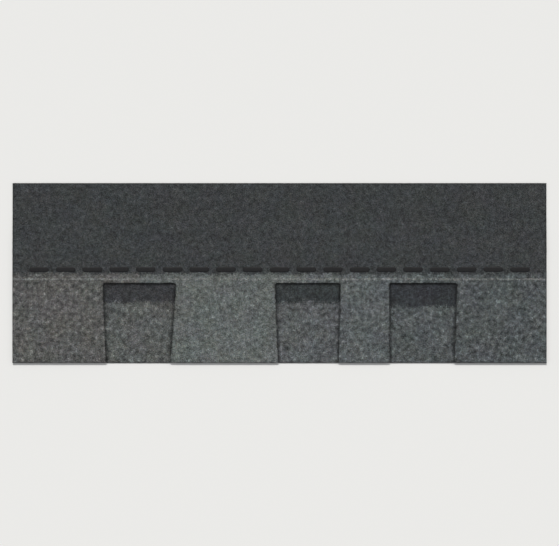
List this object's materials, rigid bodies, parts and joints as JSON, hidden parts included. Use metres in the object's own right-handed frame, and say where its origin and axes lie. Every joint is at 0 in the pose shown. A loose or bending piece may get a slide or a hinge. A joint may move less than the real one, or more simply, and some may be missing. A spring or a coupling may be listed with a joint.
{
  "type": "laminated asphalt shingle",
  "caption": "Long flat laminated roof shingle: wide flared teeth over a plain backer strip, a plain headlap above with sealant dashes, release film on the back.",
  "frame": {"origin": "on the floor, under the middle of the shingle's outline as it lies face up", "axes": "+X along the shingle, to the right as seen on the roof; +Y up the slope, from the butt edge with the teeth to the headlap edge; +Z out of the granule face"},
  "size_m": [1, 0.337, 0.0064],
  "materials": {
    "tooth_granules": "matte",
    "backer_granules": "matte",
    "asphalt": "satin",
    "film": "satin"
  },
  "bodies": {
    "root": {"tooth_sheet": "tooth_granules", "backer_strip": "backer_granules", "laminating_adhesive": "asphalt", "sealant_dashes": "asphalt", "release_film": "film"}
  },
  "joints": []
}
